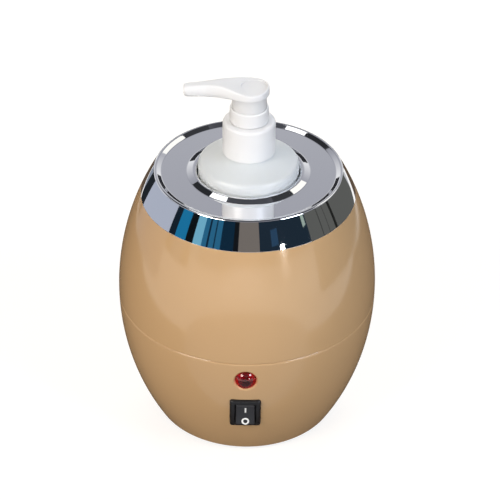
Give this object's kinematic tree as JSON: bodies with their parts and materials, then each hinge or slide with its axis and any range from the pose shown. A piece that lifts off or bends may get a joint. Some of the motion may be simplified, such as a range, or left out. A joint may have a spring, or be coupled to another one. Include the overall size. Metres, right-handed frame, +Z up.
{
  "type": "massage oil warmer",
  "caption": "Barrel-shaped massage oil warmer: heated well with a bright ring, lotion-pump bottle standing in it, rocker switch and pilot lamp in front.",
  "frame": {"origin": "on the floor, below the centre of the round housing", "axes": "+Z up along the bottle's axis, the switch and lamp face -Y, the nozzle points to -X"},
  "size_m": [0.14, 0.1422, 0.2037],
  "materials": {
    "housing_abs": "glossy moulded ABS, beige",
    "base_abs": "fine matt moulded ABS, beige",
    "ring_chrome": "bright plated ABS",
    "bottle_pe": "milky blow-moulded polyethylene",
    "pump_pp": "white moulded polypropylene",
    "pump_inner": "natural moulded polypropylene",
    "switch_black": "black moulded polyamide",
    "lens_red": "clear red moulded polycarbonate",
    "holder_nylon": "natural nylon",
    "bulb_glass": "clear glass",
    "cup_aluminium": "drawn, satin",
    "steel": "bright zinc-plated steel",
    "heater_steel": "rolled stainless sheath",
    "phenolic": "brown phenolic",
    "brass": "plain brass strip",
    "rubber_black": "moulded rubber",
    "silicone": "red-brown silicone",
    "sleeve": "varnished glass-fibre sleeve"
  },
  "bodies": {
    "base": {"lower_housing": "housing_abs", "upper_housing": "housing_abs", "top_ring": "ring_chrome", "base_plate": "base_abs", "rubber_feet": "rubber_black", "base_screws": "steel", "seam_screws": "steel", "ring_screws": "steel", "heating_cup": "cup_aluminium", "cup_gasket": "silicone", "heater_band": "heater_steel", "clamp_bolts": "steel", "clamp_nuts": "steel", "thermostat_cap": "cup_aluminium", "thermostat_body": "phenolic", "thermostat_blades": "brass", "thermostat_nuts": "steel", "thermal_fuse": "sleeve", "fuse_clip": "steel", "switch_frame": "switch_black", "switch_blades": "brass", "lamp_lens": "lens_red", "lamp_holder": "holder_nylon", "neon_bulb": "bulb_glass", "lamp_screws": "steel", "inlet_body": "switch_black", "inlet_pins": "brass"},
    "rocker": {"switch_rocker": "switch_black"},
    "bottle": {"bottle": "bottle_pe"},
    "pump": {"pump_cylinder": "pump_inner", "pump_gasket": "pump_inner", "check_ball": "bulb_glass", "dip_tube": "pump_inner", "pump_chaplet": "pump_pp", "return_spring": "steel"},
    "collar": {"pump_collar": "pump_pp"},
    "plunger": {"piston": "pump_inner"},
    "head": {"pump_head": "pump_pp", "pump_stem": "pump_inner"}
  },
  "joints": [
    {"name": "rocker_tilt", "type": "hinge", "parent": "base", "child": "rocker", "pos_m": [0, -0.06373, 0.03886], "axis": [1, 0, 0], "range_deg": [0, 24]},
    {"name": "bottle_lift", "type": "slide", "parent": "base", "child": "bottle", "axis": [0, 0, 1], "range_m": [0, 0.14]},
    {"name": "pump_raise", "type": "slide", "parent": "bottle", "child": "pump", "axis": [0, 0, 1], "range_m": [0, 0.0048]},
    {"name": "collar_turn", "type": "hinge", "parent": "pump", "child": "collar", "pos_m": [0, 0, 0.172], "axis": [0, 0, 1], "range_deg": [0, 540]},
    {"name": "pump_stroke", "type": "slide", "parent": "pump", "child": "plunger", "axis": [0, 0, 1], "range_m": [0, 0.014], "deforming": ["return_spring"]},
    {"name": "head_swivel", "type": "hinge", "parent": "plunger", "child": "head", "pos_m": [0, 0, 0.198], "axis": [0, 0, 1], "continuous": true}
  ],
  "couplings": [
    {"joint": "pump_raise", "follows": "collar_turn", "m_per_rad": 0.00050532}
  ]
}
